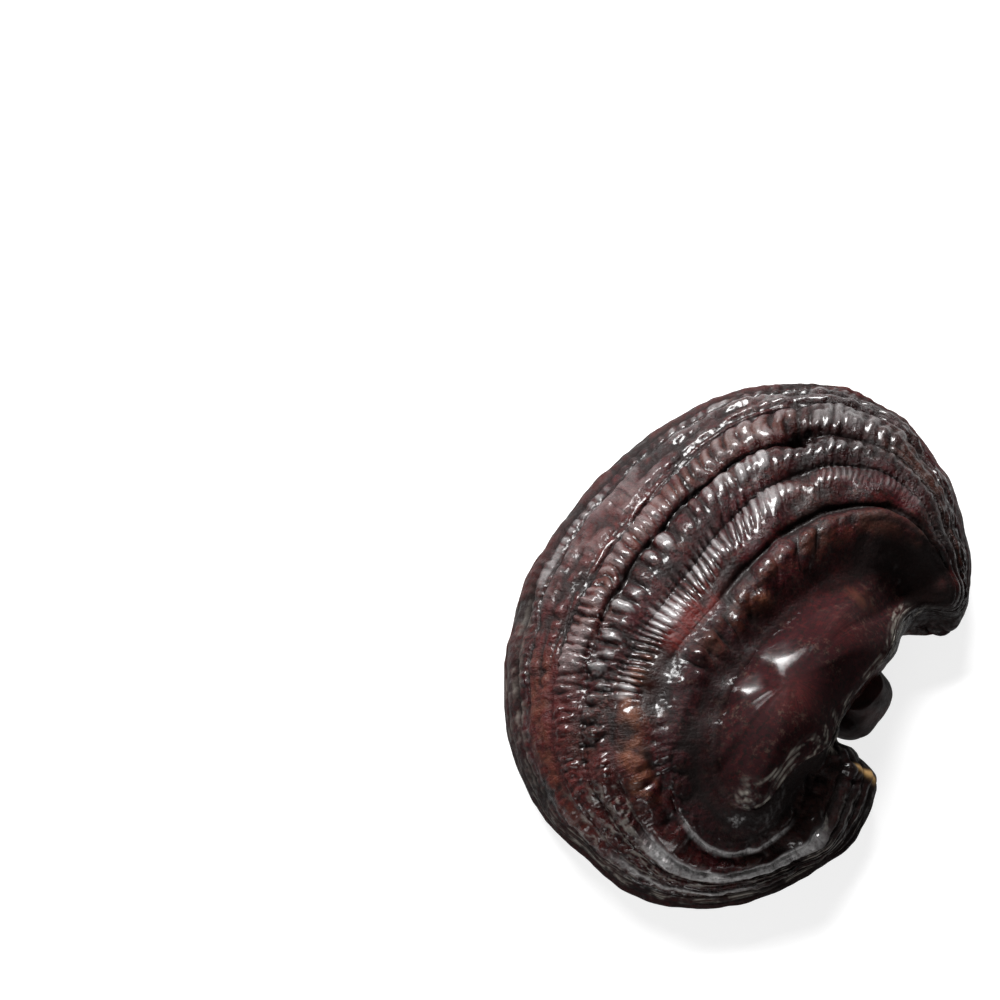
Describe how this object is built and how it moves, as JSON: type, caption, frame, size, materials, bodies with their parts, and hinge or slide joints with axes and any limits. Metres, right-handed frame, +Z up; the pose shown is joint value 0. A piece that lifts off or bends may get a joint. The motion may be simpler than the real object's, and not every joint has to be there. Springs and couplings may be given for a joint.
{
  "type": "reishi mushroom",
  "caption": "Dried reishi mushroom: kidney-shaped lacquered cap with ridged growth bands, a raised boss and a short cut stem.",
  "frame": {"origin": "middle of the footprint, on the surface that the mushroom rests on", "axes": "+Z up through the cap's upper face; +X towards the notch and stem; +Y along the longer side of the cap"},
  "size_m": [0.1072, 0.1296, 0.0331],
  "materials": {
    "cap_skin": "dark maroon lacquered crust, glossy on the ridges, tan pores below",
    "stem_skin": "dark brown lacquered bark, pale fibrous cut at the foot"
  },
  "bodies": {
    "root": {"cap": "cap_skin", "stem": "stem_skin"}
  },
  "joints": []
}
